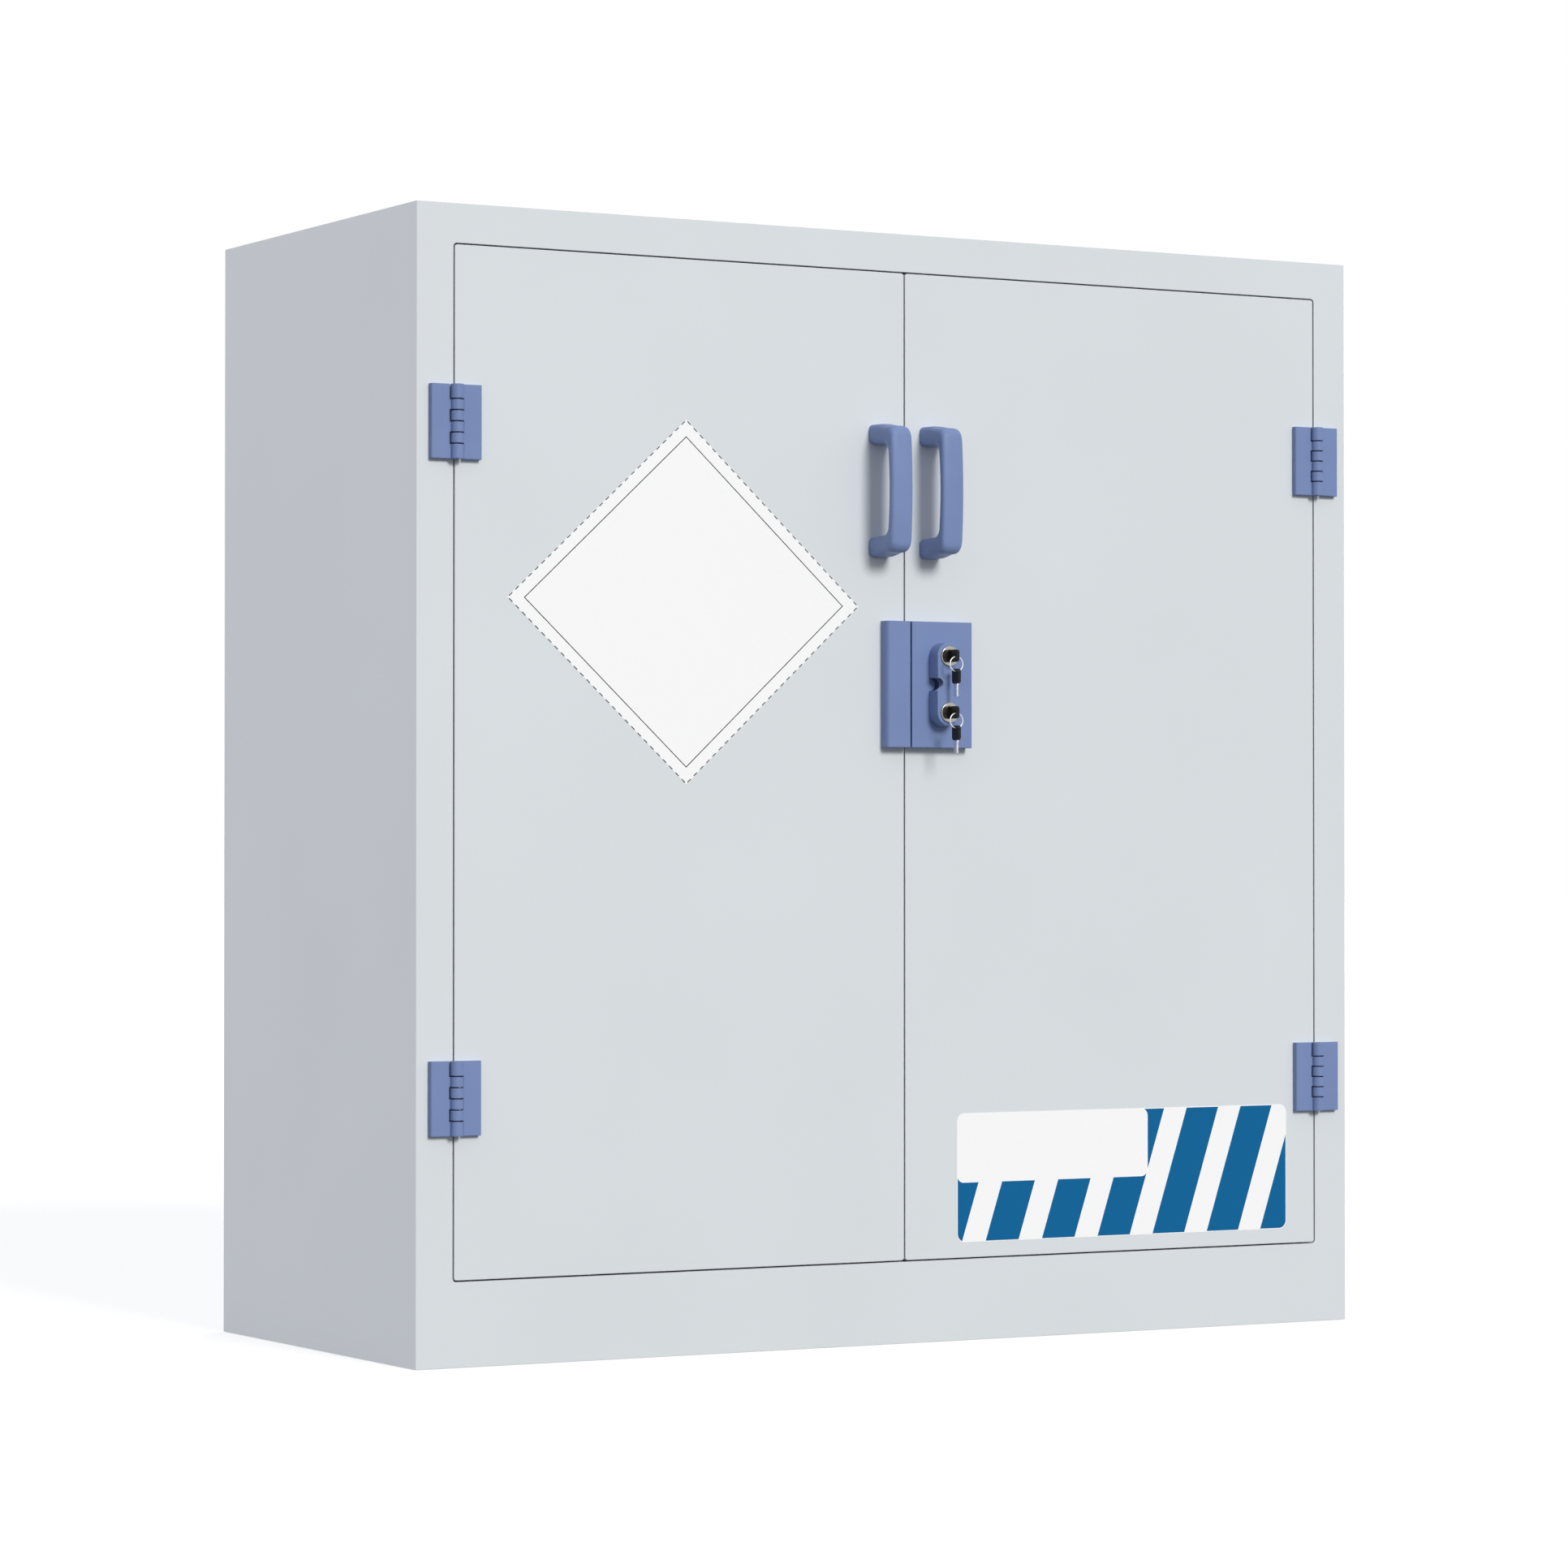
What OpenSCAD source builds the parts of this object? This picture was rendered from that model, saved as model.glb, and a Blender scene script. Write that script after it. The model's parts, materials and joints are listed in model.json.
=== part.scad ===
// Two-door storage cabinet for corrosive liquids, welded from polypropylene sheet.
// Millimetres. The origin is on the floor below the middle of the cabinet:
// +X to the right, +Y to the back, +Z up. The doors face -Y.
// A distance "in front" is measured forward from the cabinet's face.

/* [Cabinet] */
// Overall width
cab_w = 1090; // [900:5:1400]
// Depth without the fittings on the doors
cab_d = 460; // [380:5:650]
// Overall height
cab_h = 1120; // [1080:5:1900]
// Thickness of the side, top, floor and back sheets
sheet_t = 8; // [5:0.5:12]
// Thickness of the sheet that frames the doors
frame_t = 10; // [6:0.5:14]
// Width of the frame beside the doors
stile_w = 39; // [36:1:60]
// Height of the frame above the doors
top_rail_h = 38; // [34:1:60]
// Height of the frame below the doors, which dams the sump
bottom_rail_h = 82; // [75:1:110]
// Radius of the corners of the door opening
opening_r = 4; // [1:0.5:8]
// Height of the bearers below the floor sheet
bearer_h = 32; // [20:1:40]
// Width of each bearer
bearer_w = 40; // [25:1:60]
// Leg of the weld beads in the inner corners
weld_leg = 4; // [2:0.5:4.5]

/* [Door stop] */
// Thickness of the liner round the door opening
liner_t = 8; // [5:0.5:12]
// Thickness of the lip that the doors close against
lip_t = 8; // [5:0.5:12]
// How far the lip reaches behind a door's edge
lip_overlap = 12; // [8:0.5:18]
// Gap between a closed door and the lip
lip_gap = 0.5; // [0.3:0.1:2]
// Distance of each catch from the middle
catch_x = 32; // [28:1:80]
// Width of a catch
catch_w = 36; // [24:1:50]
// How far a catch hangs below the lip
catch_drop = 20; // [16:1:30]
// Length of a catch from front to back
catch_d = 24; // [18:1:40]
// Thickness of the strike plates
strike_t = 1.5; // [1:0.1:3]
// How far a strike plate ends inside its catch, above and below
strike_margin = 2; // [1:0.5:5]
// Gap between a strike plate and its catch
strike_gap = 0.3; // [0.2:0.1:1]

/* [Shelf and tray] */
// Width of a shelf standard
standard_w = 30; // [24:1:50]
// Thickness of a shelf standard
standard_t = 10; // [8:0.5:16]
// Distance from the liner or the back sheet to the nearest standard
standard_inset = 60; // [40:1:90]
// Gap above and below each standard
standard_end_gap = 60; // [30:1:90]
// Distance from slot to slot in a standard
slot_pitch = 50; // [40:1:80]
// Height of a slot
slot_h = 12; // [8:0.5:16]
// Width of a slot
slot_w = 16; // [10:0.5:20]
// Depth of a slot
slot_depth = 6; // [4:0.5:7]
// Slot that carries the shelf, counted from the bottom
shelf_slot = 8; // [3:1:14]
// How far a shelf clip reaches in from its standard
clip_reach = 22; // [14:1:35]
// Thickness of a clip's ledge
clip_ledge_t = 5; // [4:0.5:8]
// Depth of the gusset below a clip's ledge
clip_gusset_h = 16; // [8:1:24]
// Clearance of a clip in its slot
clip_clear = 0.3; // [0.1:0.1:0.6]
// Thickness of the shelf
shelf_t = 6; // [4:0.5:10]
// Height of the shelf's upturned rim, from its underside
shelf_rim_h = 28; // [15:1:45]
// Gap between the shelf and what is round it
shelf_gap = 3; // [2:0.5:8]
// Thickness of the spill tray
tray_t = 5; // [3:0.5:8]
// Height of the spill tray
tray_h = 48; // [30:1:70]
// Gap between the spill tray and what is round it
tray_gap = 5; // [3:0.5:12]

/* [Doors] */
// Gap round each door
door_gap = 1.6; // [1.2:0.1:4]
// Thickness of a door's face sheet
door_skin_t = 8; // [6:0.5:12]
// Thickness of the stiffening frame welded behind it
door_rib_t = 16; // [12:0.5:22]
// Width of the stiffening frame's members
door_rib_w = 44; // [43:1:60]
// Radius of a door's corners
door_r = 3; // [1:0.5:6]
// Margin of the thicker pad behind the lock case
lock_pad_margin = 12; // [6:1:25]

/* [Hinges] */
// Height of a hinge
hinge_h = 72; // [60:1:100]
// Width of one hinge leaf from the pin's axis
leaf_w = 27; // [24:0.5:32]
// Thickness of a leaf
leaf_t = 6.5; // [5.5:0.1:6.5]
// Chamfer along a leaf's outer edge
leaf_chamfer = 1; // [0.3:0.1:2]
// Outer diameter of the knuckles
barrel_d = 13; // [11:0.5:13]
// Gap between the knuckles and the cabinet's face
barrel_gap = 0.5; // [0.3:0.1:1.5]
// Height of the two end knuckles
end_knuckle_h = 14.5; // [12:0.25:18]
// Number of knuckles
knuckles = 6; // [4:2:8]
// Gap between neighbouring knuckles
knuckle_gap = 1.2; // [0.4:0.1:1.6]
// Gap between the knuckles and the edge of the other leaf
leaf_gap = 1.1; // [0.8:0.1:2.2]
// Diameter of a hinge pin
pin_d = 5; // [4:0.5:6]
// How far a pin ends inside its knuckles
pin_recess = 1; // [0.5:0.5:3]
// Radial clearance of a hinge pin
pin_clear = 0.05; // [0.02:0.01:0.1]
// Distance from the top of the door opening to the middle of the upper hinges
hinge_drop = 173; // [120:1:240]
// Distance from the bottom of the door opening to the middle of the lower hinges
hinge_rise = 176.5; // [120:0.5:240]
// Distance of a leaf's screws from the pin's axis
leaf_screw_x = 17.5; // [14:0.5:20]
// Distance from one of a leaf's screws to the other
leaf_screw_pitch = 44; // [30:1:52]

/* [Handles] */
// Distance of a handle's middle from the middle of the cabinet
handle_x = 29.8; // [24:0.1:36]
// Height of the middle of the handles
handle_z = 859; // [800:1:940]
// Height of a handle
handle_h = 134.5; // [110:0.5:180]
// Width of a handle
handle_w = 24.5; // [20:0.5:30]
// Height of a handle's foot where it meets the door
foot_h = 20.5; // [16:0.5:28]
// How far the bar's ends stand in front of the door
handle_reach = 46; // [36:0.5:54]
// How much further the middle of the bar bows out
handle_bow = 2; // [1:0.5:8]
// Thickness of the bar
bar_t = 9.5; // [7:0.5:12]
// Outer radius where the bar turns into a foot
handle_r = 10; // [8:0.5:16]
// Inner radius where the bar turns into a foot
grip_r = 13; // [4:0.5:16]
// How far each side of a foot leans towards the handle's middle
foot_lean = 1; // [0:0.1:3]
// How far the shoulder between a foot and the bar steps in
shoulder = 2.5; // [0:0.1:4]

/* [Lock] */
// Distance of the lock cylinders from the middle of the cabinet
lock_x = 34.5; // [32:0.5:38]
// Height midway between the two lock cylinders
lock_z = 664.5; // [620:0.5:720]
// Distance from one lock cylinder to the other
lock_pitch = 57; // [54:0.5:70]
// Distance from the middle of the cabinet to the case and to the keeper
case_edge = 0.9; // [0.8:0.1:3]
// Width of the lock case
case_w = 71.7; // [69:0.1:90]
// Width of the keeper box
keeper_w = 26.7; // [25:0.1:36]
// Height of the lock case and the keeper box
case_h = 127.3; // [122:0.1:150]
// How far the case and the keeper stand in front of the doors
case_t = 13.5; // [13.2:0.1:18]
// Thickness of their walls
case_wall = 3; // [2:0.1:3.2]
// Wall round a screw in the case and the keeper
screw_boss_wall = 3; // [2:0.1:4]
// Gap between such a wall and the outer walls
screw_boss_gap = 3; // [1:0.1:5]
// Radius of the case's right edge
case_r = 2.5; // [1:0.1:4]
// Radius of the keeper's left edge
keeper_r = 4; // [1:0.1:6]
// Width of the boss round the cylinders
boss_w = 27; // [26:0.5:32]
// How far the boss stands in front of the case
boss_t = 17; // [14:0.5:24]
// Radius of the thumb notch in the boss
notch_r = 6.3; // [4:0.1:8]
// Depth of the thumb notch
notch_depth = 7; // [4:0.1:8]
// Diameter of a cylinder's bezel
bezel_d = 20; // [19:0.1:24]
// Thickness of a bezel
bezel_t = 2; // [1:0.1:3]
// Diameter of a cylinder's barrel
barrel_lock_d = 17; // [16:0.1:18]
// Diameter of the plug that the key turns
plug_d = 13; // [12:0.1:14]
// Radial clearance of the plug
plug_clear = 0.06; // [0.02:0.01:0.1]
// How far the plug's face lies behind the bezel's
plug_recess = 0.4; // [0.2:0.1:1]
// Thickness of a barrel's nut
nut_t = 3; // [2:0.1:3]
// Distance across the corners of a barrel's nut
nut_d = 23.6; // [22:0.1:24]
// Height of a sliding bolt
bolt_h = 24; // [23:0.5:26]
// Thickness of a sliding bolt
bolt_t = 4; // [3:0.1:4]
// Length of a sliding bolt
bolt_l = 47.8; // [46:0.1:52]
// How far a drawn bolt's tip lies inside the case
bolt_recess = 0.5; // [0.2:0.1:1]
// Clearance round a bolt in its guides
bolt_clear = 0.3; // [0.2:0.05:0.5]
// Distance from a plug's axis to its crank's pin
crank_r = 8; // [7:0.1:8.4]
// Diameter of a crank's pin
crank_pin_d = 4; // [3:0.1:4.5]
// Clearance each side of a crank's pin in its bolt
crank_clear = 0.4; // [0.3:0.05:0.6]
// Thickness of a crank
crank_t = 2; // [1.5:0.1:2]

/* [Keys] */
// Thickness of a key's bow
bow_t = 3; // [2.5:0.1:4]
// Length of a bow
bow_l = 15; // [12:0.5:18]
// Width of a bow
bow_w = 12.5; // [10:0.5:16]
// Radius of a bow's corners
bow_r = 3.4; // [1:0.1:5]
// Distance from a bow's outer end to the middle of its hole
bow_hole_inset = 3.6; // [3.4:0.1:6]
// Diameter of a bow's hole
bow_hole_d = 3.6; // [3.4:0.1:5]
// Gap between a key's bow and the bezel
bow_gap = 0.3; // [0.2:0.1:1]
// Length of a key's blade
blade_l = 13; // [12:0.5:18]
// Width of a blade
blade_w = 6; // [5:0.1:7]
// Thickness of a blade
blade_t = 2; // [1.6:0.1:2.4]
// Length of the blade's tang inside the bow
tang_l = 5; // [3:0.5:6]
// Clearance round a blade in its keyway
keyway_clear = 0.15; // [0.1:0.05:0.4]
// Depth of the cuts in a blade
cut_depth = 1.4; // [0.5:0.1:2]
// Radius of a key ring to the middle of its wire
ring_r = 7.4; // [7:0.1:12]
// Diameter of a key ring's wire
wire_d = 1.2; // [1:0.1:1.6]
// Gap where a ring or a key hangs on the other
hang_gap = 0.2; // [0.15:0.05:0.3]

/* [Screws] */
// Diameter of a screw
screw_d = 4; // [3:0.5:5]
// Diameter of a screw's head
screw_head_d = 8; // [6:0.5:9]
// Height of a screw's head
screw_head_t = 3; // [2:0.5:4]
// Radial clearance of a screw in its hole
screw_clear = 0.1; // [0.05:0.05:0.3]
// Clearance round a screw's head in its counterbore
seat_clear = 0.4; // [0.2:0.1:1]
// How far a screw's head lies below the surface
seat_sink = 0.3; // [0:0.1:1]
// Clearance beyond a screw's tip in its hole
tip_clear = 0.3; // [0.1:0.1:0.5]
// How far a screw goes into a hinge leaf
leaf_thread = 5; // [3.5:0.1:5]
// How far a screw goes into a handle or a boss
foot_thread = 9; // [6:0.5:9.5]

/* [Hidden] */
$fn = 64;
LEFT = -1;
RIGHT = 1;
shell_colour = [0.85, 0.87, 0.88];
inner_colour = [0.80, 0.82, 0.84];
blue_colour = [0.48, 0.55, 0.72];
steel_colour = [0.75, 0.76, 0.78];
black_colour = [0.08, 0.08, 0.09];

// Extra length of a cutting shape past the face that it leaves.
past = 1;

// Cabinet
front_y = -cab_d / 2;
back_y = cab_d / 2;
inner_x = cab_w / 2 - sheet_t;
inner_front_y = front_y + frame_t;
inner_back_y = back_y - sheet_t;
floor_z = bearer_h + sheet_t;
inner_top_z = cab_h - sheet_t;
inner_d = inner_back_y - inner_front_y;
bearer_x = inner_x - bearer_w / 2;
open_x = cab_w / 2 - stile_w;
open_z0 = bottom_rail_h;
open_z1 = cab_h - top_rail_h;

// Doors
door_x = open_x - door_gap;
door_z0 = open_z0 + door_gap;
door_z1 = open_z1 - door_gap;
door_mid_z = (door_z0 + door_z1) / 2;
door_back_y = front_y + door_skin_t + door_rib_t;
meeting_x = door_gap / 2;

// Door stop
lip_y0 = door_back_y + lip_gap;
lip_y1 = lip_y0 + lip_t;
lip_inset = door_gap + lip_overlap;
lip_top_z = open_z1 - lip_inset;
catch_y0 = door_back_y + strike_t + strike_gap;
catch_y1 = catch_y0 + catch_d;
strike_z0 = lip_top_z - catch_drop + strike_margin;
strike_z1 = lip_top_z - strike_margin;

// Shelf and tray
standard_z0 = floor_z + standard_end_gap;
standard_z1 = inner_top_z - standard_end_gap;
standard_x = inner_x - standard_t;
standard_ys = [lip_y1 + standard_inset, inner_back_y - standard_inset];
slots = floor((standard_z1 - standard_z0 - slot_h) / slot_pitch);
slot_z0 = standard_z0 + slot_pitch / 2;
clip_tongue_h = slot_h - clip_clear;
shelf_z = slot_z0 + (shelf_slot - 1) * slot_pitch + clip_tongue_h;
shelf_x = standard_x - shelf_gap / 2;
shelf_y0 = catch_y1 + shelf_gap;
shelf_y1 = inner_back_y - shelf_gap;
tray_x = open_x - lip_inset - tray_gap;
tray_y0 = lip_y1 + tray_gap;
tray_y1 = inner_back_y - tray_gap;

// Hinges
barrel_r = barrel_d / 2;
axis_front = barrel_r + barrel_gap;
hinge_x = open_x - door_gap / 2;
hinge_y = front_y - axis_front;
hinge_upper_z = open_z1 - hinge_drop;
hinge_lower_z = open_z0 + hinge_rise;
hinge_zs = [hinge_upper_z, hinge_lower_z];
pin_r = pin_d / 2;
leaf_screw_dz = leaf_screw_pitch / 2;
mid_knuckle_h = (hinge_h - 2 * end_knuckle_h) / (knuckles - 2);

// Handles
handle_screw_dz = handle_h / 2 - foot_h / 2;

// Lock
cyl_zs = [lock_z + lock_pitch / 2, lock_z - lock_pitch / 2];
case_x1 = case_edge + case_w;
keeper_x1 = case_edge + keeper_w;
case_z0 = lock_z - case_h / 2;
case_z1 = lock_z + case_h / 2;
cavity_front = case_t - case_wall;
boss_front = case_t + boss_t;
bezel_front = boss_front + bezel_t;
plug_front = bezel_front - plug_recess;
bolt_back = crank_clear;
bolt_front = bolt_back + bolt_t;
crank_back = bolt_front + crank_clear;
crank_front = crank_back + crank_t;
barrel_back = crank_front + crank_clear;
guide_front = bolt_front + bolt_clear;
guide_dz = bolt_h / 2 + bolt_clear;
// Thickness of the ribs above and below a bolt
guide_t = 3;
bolt_x0 = case_edge + bolt_recess;
crank_angle = 45;
crank_dx = crank_r * sin(crank_angle);
crank_dz = crank_r * cos(crank_angle);
crank_pin_r = crank_pin_d / 2;
// Wall of a crank's arm round its pin
crank_wall = 1.3;
crank_end_r = crank_pin_r + crank_wall;
// A crank's hub is this much smaller in radius than its plug
crank_hub_step = 0.5;
crank_hub_r = plug_d / 2 - crank_hub_step;
// Radius and length of the screw that holds a crank
crank_screw_r = 1.5;
crank_screw_l = 6;
boss_screw_r = screw_d / 2 + screw_boss_wall;
case_screw_inset = case_wall + boss_screw_r + screw_boss_gap;
case_screw_xs = [case_edge + case_screw_inset, case_x1 - case_screw_inset];
case_screw_zs = [case_z0 + case_screw_inset, case_z1 - case_screw_inset];
keeper_screw_x = -(case_edge + keeper_w / 2);

// Keys: a key's own frame has its origin in the middle of the bow's hole,
// X towards the blade's tip and Y across the blade.
bow_x0 = -bow_hole_inset;
bow_x1 = bow_x0 + bow_l;
blade_x1 = bow_x1 + blade_l;
key_hole_front = bezel_front + bow_gap + bow_x1;
wire_r = wire_d / 2;
hang_drop = bow_hole_d / 2 - wire_r - hang_gap;
ring_dz = -hang_drop - ring_r;
spare_dz = ring_dz - ring_r - hang_drop;
keyway_back = bezel_front + bow_gap - blade_l - 2 * keyway_clear;

// Screws
screw_r = screw_d / 2;
screw_hole_r = screw_r + screw_clear;
screw_seat_r = screw_head_d / 2 + seat_clear;
screw_seat_d = screw_head_t + seat_sink;
barrel_bore_r = barrel_lock_d / 2 + screw_clear / 2;
door_t = door_skin_t + door_rib_t;

// Middles of the screws through a door, as [x, z], for one side
function leaf_screws(side, x) =
    [for (zc = hinge_zs, dz = [-leaf_screw_dz, leaf_screw_dz]) [side * x, zc + dz]];
function door_leaf_screws(side) = leaf_screws(side, hinge_x - leaf_screw_x);
function frame_leaf_screws(side) = leaf_screws(side, hinge_x + leaf_screw_x);
function handle_screws(side) =
    [for (dz = [-handle_screw_dz, handle_screw_dz]) [side * handle_x, handle_z + dz]];
keeper_screws = [for (z = case_screw_zs) [keeper_screw_x, z]];
case_screws = [for (x = case_screw_xs, z = case_screw_zs) [x, z]];
function lock_screws(side) = side == LEFT ? keeper_screws : case_screws;
function door_screws(side) =
    concat(door_leaf_screws(side), handle_screws(side), lock_screws(side));

// ---- helpers ----

// Extrudes an outline in X and Z from one distance in front of the face to another.
module forward(from, to) {
    translate([0, front_y - from, 0]) rotate([90, 0, 0]) linear_extrude(to - from) children();
}

// A box between two corners.
module block(low, high) {
    translate(low) cube(high - low);
}

// Mirrors what is drawn on the right to the left for the left side.
module on_side(side) {
    mirror([side == LEFT ? 1 : 0, 0, 0]) children();
}

module rectangle(x0, x1, z0, z1) {
    translate([x0, z0]) square([x1 - x0, z1 - z0]);
}

// A rectangle with round corners.
module round_rectangle(x0, x1, z0, z1, r) {
    rectangle(x0 + r, x1 - r, z0, z1);
    rectangle(x0, x1, z0 + r, z1 - r);
    for (x = [x0 + r, x1 - r], z = [z0 + r, z1 - r]) translate([x, z]) circle(r);
}

// Discs at a list of [x, z] places.
module discs(places, r) {
    for (p = places) translate(p) circle(r);
}

// A round screw from a seat at one distance in front of the face to its tip.
module screw(seat, tip) {
    forward(seat - screw_head_t, seat) circle(screw_head_d / 2);
    forward(seat, tip) circle(screw_r);
}

module screws_at(places, seat, tip) {
    for (p = places) translate([p[0], 0, p[1]]) screw(seat, tip);
}

// ---- cabinet ----

module left_side_panel() {
    color(shell_colour) block([-cab_w / 2, inner_front_y, 0], [-inner_x, back_y, cab_h]);
}

module right_side_panel() {
    color(shell_colour) block([inner_x, inner_front_y, 0], [cab_w / 2, back_y, cab_h]);
}

module top_panel() {
    color(shell_colour) block([-inner_x, inner_front_y, inner_top_z], [inner_x, back_y, cab_h]);
}

module floor_panel() {
    color(inner_colour) block([-inner_x, inner_front_y, bearer_h], [inner_x, inner_back_y, floor_z]);
}

module back_panel() {
    color(shell_colour) block([-inner_x, inner_back_y, 0], [inner_x, back_y, inner_top_z]);
}

module door_opening_outline(inset) {
    round_rectangle(-open_x + inset, open_x - inset, open_z0 + inset, open_z1 - inset, opening_r);
}

module front_frame() {
    color(shell_colour) forward(-frame_t, 0) difference() {
        rectangle(-cab_w / 2, cab_w / 2, 0, cab_h);
        door_opening_outline(0);
        for (side = [LEFT, RIGHT]) discs(frame_leaf_screws(side), screw_hole_r);
    }
}

module floor_bearers() {
    color(inner_colour) for (x = [-bearer_x, 0, bearer_x])
        block([x - bearer_w / 2, inner_front_y, 0], [x + bearer_w / 2, inner_back_y, bearer_h]);
}

// A bead in the corner at the left of the back sheet, drawn from above, and its run.
module weld_bead(length) {
    linear_extrude(length) polygon([[0, 0], [weld_leg, 0], [0, -weld_leg]]);
}

// Beads up the four inner corners of the shell, and round the edges of the floor,
// the top and the back.
module weld_beads() {
    color(inner_colour) for (side = [LEFT, RIGHT]) on_side(-side) {
        translate([-inner_x, inner_back_y, floor_z]) weld_bead(inner_top_z - floor_z);
        translate([-inner_x, inner_front_y, floor_z]) mirror([0, 1, 0])
            weld_bead(inner_top_z - floor_z);
        translate([-inner_x, inner_back_y, floor_z]) rotate([90, 0, 0]) mirror([0, 1, 0])
            weld_bead(inner_d);
        translate([-inner_x, inner_back_y, inner_top_z]) rotate([90, 0, 0]) weld_bead(inner_d);
        translate([0, inner_back_y, floor_z]) rotate([0, -90, 0]) weld_bead(inner_x);
        translate([0, inner_back_y, inner_top_z]) rotate([0, -90, 0]) mirror([1, 0, 0])
            weld_bead(inner_x);
    }
}

// A liner round the opening, with a lip at its back that the doors close against.
module door_stop_frame() {
    color(inner_colour) {
        forward(front_y - lip_y1, -frame_t) difference() {
            rectangle(-open_x - liner_t, open_x + liner_t, open_z0 - liner_t, open_z1 + liner_t);
            door_opening_outline(0);
        }
        forward(front_y - lip_y1, front_y - lip_y0) difference() {
            door_opening_outline(-past);
            door_opening_outline(lip_inset);
        }
    }
}

// A catch hangs from the lip and reaches forward below it to the strike plate.
module door_catches() {
    profile = [
        [catch_y0, lip_top_z - catch_drop], [catch_y1, lip_top_z - catch_drop],
        [catch_y1, lip_top_z + lip_overlap], [lip_y1, lip_top_z + lip_overlap],
        [lip_y1, lip_top_z], [catch_y0, lip_top_z],
    ];
    color(shell_colour) for (x = [-catch_x, catch_x])
        translate([x, 0, 0]) rotate([90, 0, 90]) linear_extrude(catch_w, center = true) polygon(profile);
}

// ---- shelf and tray ----

module shelf_standard(y) {
    difference() {
        block([-inner_x, y - standard_w / 2, standard_z0], [-standard_x, y + standard_w / 2, standard_z1]);
        for (i = [0:slots - 1]) {
            z = slot_z0 + i * slot_pitch;
            block([-standard_x - slot_depth, y - slot_w / 2, z],
                [-standard_x + past, y + slot_w / 2, z + slot_h]);
        }
    }
}

module shelf_standards() {
    color(inner_colour) for (side = [LEFT, RIGHT], y = standard_ys)
        on_side(-side) shelf_standard(y);
}

// A ledge with a tongue in a slot and a gusset against the standard.
module shelf_clip(y) {
    z0 = shelf_z - clip_tongue_h;
    profile = [
        [-standard_x - slot_depth + clip_clear, z0], [-standard_x - slot_depth + clip_clear, shelf_z],
        [-standard_x + clip_reach, shelf_z], [-standard_x + clip_reach, shelf_z - clip_ledge_t],
        [-standard_x + clip_ledge_t, z0 - clip_gusset_h], [-standard_x, z0 - clip_gusset_h],
        [-standard_x, z0],
    ];
    translate([0, y + slot_w / 2 - clip_clear, 0]) rotate([90, 0, 0])
        linear_extrude(slot_w - 2 * clip_clear) polygon(profile);
}

module shelf_clips() {
    color(blue_colour) for (side = [LEFT, RIGHT], y = standard_ys)
        on_side(-side) shelf_clip(y);
}

// An open tray between two corners with walls of one thickness.
module open_tray(low, high, wall) {
    difference() {
        block(low, high);
        block(low + [wall, wall, wall], high + [-wall, -wall, past]);
    }
}

module shelf() {
    color(shell_colour)
        open_tray([-shelf_x, shelf_y0, shelf_z], [shelf_x, shelf_y1, shelf_z + shelf_rim_h], shelf_t);
}

module spill_tray() {
    color(shell_colour)
        open_tray([-tray_x, tray_y0, floor_z], [tray_x, tray_y1, floor_z + tray_h], tray_t);
}

// ---- doors ----

module door_outline(side) {
    on_side(side) round_rectangle(meeting_x, door_x, door_z0, door_z1, door_r);
}

module door_panel(side) {
    color(shell_colour) forward(-door_skin_t, 0) difference() {
        door_outline(side);
        discs(door_screws(side), screw_hole_r);
    }
}

// Members round a door's edge, one across its middle and a pad behind the lock case.
module door_members_outline(side) {
    difference() {
        door_outline(side);
        on_side(side) difference() {
            rectangle(meeting_x + door_rib_w, door_x - door_rib_w,
                door_z0 + door_rib_w, door_z1 - door_rib_w);
            rectangle(0, door_x, door_mid_z - door_rib_w / 2, door_mid_z + door_rib_w / 2);
            if (side == RIGHT)
                rectangle(0, case_x1 + lock_pad_margin,
                    case_z0 - lock_pad_margin, case_z1 + lock_pad_margin);
        }
    }
}

module door_frame(side) {
    color(inner_colour) difference() {
        forward(-door_t, -door_skin_t) door_members_outline(side);
        forward(-door_t - past, -door_skin_t + past) discs(door_screws(side), screw_hole_r);
        forward(-door_t - past, -door_t + screw_seat_d) discs(door_screws(side), screw_seat_r);
    }
}

module strike_plate(side) {
    color(steel_colour) forward(-door_t - strike_t, -door_t)
        rectangle(side * catch_x - catch_w / 2, side * catch_x + catch_w / 2,
            strike_z0, strike_z1);
}

module door_fixings(side) {
    seat = -door_t + screw_seat_d;
    color(steel_colour) {
        screws_at(door_leaf_screws(side), seat, leaf_thread);
        screws_at(handle_screws(side), seat, foot_thread);
        screws_at(lock_screws(side), seat, foot_thread);
    }
}

module left_door_panel() { door_panel(LEFT); }
module left_door_frame() { door_frame(LEFT); }
module left_strike_plate() { strike_plate(LEFT); }
module left_door_screws() { door_fixings(LEFT); }
module right_door_panel() { door_panel(RIGHT); }
module right_door_frame() { door_frame(RIGHT); }
module right_strike_plate() { strike_plate(RIGHT); }
module right_door_screws() { door_fixings(RIGHT); }

// ---- hinges ----

// Height of the upper end of knuckle i, counted from the top, above the hinge's middle.
function knuckle_top(i) = i == 0 ? hinge_h / 2
    : i == knuckles ? -hinge_h / 2
    : hinge_h / 2 - end_knuckle_h - (i - 1) * mid_knuckle_h;

module leaf_plate_outline() {
    polygon([
        [barrel_r + leaf_gap, axis_front], [leaf_w, axis_front],
        [leaf_w, axis_front - leaf_t + leaf_chamfer], [leaf_w - leaf_chamfer, axis_front - leaf_t],
        [barrel_r + leaf_gap, axis_front - leaf_t],
    ]);
}

module knuckle_outline() {
    circle(barrel_r);
    translate([0, axis_front - leaf_t]) square([barrel_r + leaf_gap + past, leaf_t]);
}

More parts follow.
